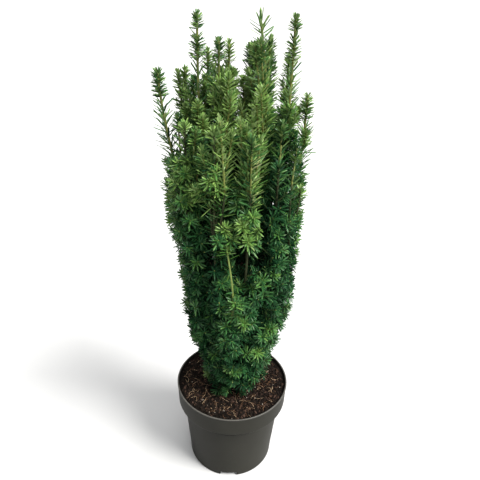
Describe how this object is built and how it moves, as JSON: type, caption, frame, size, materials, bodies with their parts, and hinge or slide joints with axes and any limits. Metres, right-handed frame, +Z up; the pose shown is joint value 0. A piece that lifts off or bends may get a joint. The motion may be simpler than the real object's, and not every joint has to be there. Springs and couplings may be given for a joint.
{
  "type": "english yew in a nursery pot",
  "caption": "Upright English yew shrub with a vase of boughs and dense needle foliage, standing in a round plastic nursery pot.",
  "frame": {"origin": "centre of the pot's flat underside, on the surface it stands on", "axes": "+Z up along the plant, -Y the side that the picture shows, +X to its right"},
  "size_m": [0.2591, 0.2344, 0.8834],
  "materials": {
    "pot": "fine matte moulded plastic, dark warm grey",
    "potting_mix": "moist dark brown peat and bark crumbs",
    "bark": "thin flaking brown bark, green on young wood",
    "yew_foliage": "glossy dark green needles with paler undersides"
  },
  "bodies": {
    "root": {"pot": "pot", "soil": "potting_mix", "trunk": "bark", "bough_left_outer": "bark", "bough_left_pair": "bark", "bough_left_tall": "bark", "bough_left_inner": "bark", "bough_middle_left": "bark", "bough_middle_back": "bark", "bough_middle_right": "bark", "bough_right_middle": "bark", "bough_right_inner": "bark", "bough_right_tall": "bark", "bough_right_outer": "bark", "bough_front_left": "bark", "bough_front_right": "bark", "bough_right_front": "bark", "bough_right_side": "bark", "bough_back_right": "bark", "bough_back": "bark", "bough_back_left": "bark", "bough_left_side": "bark", "bough_left_front": "bark", "foliage_left_outer": "yew_foliage", "foliage_left_pair": "yew_foliage", "foliage_left_tall": "yew_foliage", "foliage_left_inner": "yew_foliage", "foliage_middle_left": "yew_foliage", "foliage_middle_back": "yew_foliage", "foliage_middle_right": "yew_foliage", "foliage_middle_tall": "yew_foliage", "foliage_right_middle": "yew_foliage", "foliage_right_inner": "yew_foliage", "foliage_right_tall": "yew_foliage", "foliage_right_outer": "yew_foliage", "foliage_front_left": "yew_foliage", "foliage_front_right": "yew_foliage", "foliage_right_front": "yew_foliage", "foliage_right_side": "yew_foliage", "foliage_back_right": "yew_foliage", "foliage_back": "yew_foliage", "foliage_back_left": "yew_foliage", "foliage_left_side": "yew_foliage", "foliage_left_front": "yew_foliage", "foliage_skirt_1": "yew_foliage", "foliage_skirt_2": "yew_foliage", "foliage_skirt_3": "yew_foliage", "foliage_skirt_4": "yew_foliage", "foliage_skirt_5": "yew_foliage", "foliage_skirt_6": "yew_foliage", "foliage_skirt_7": "yew_foliage"}
  },
  "joints": []
}
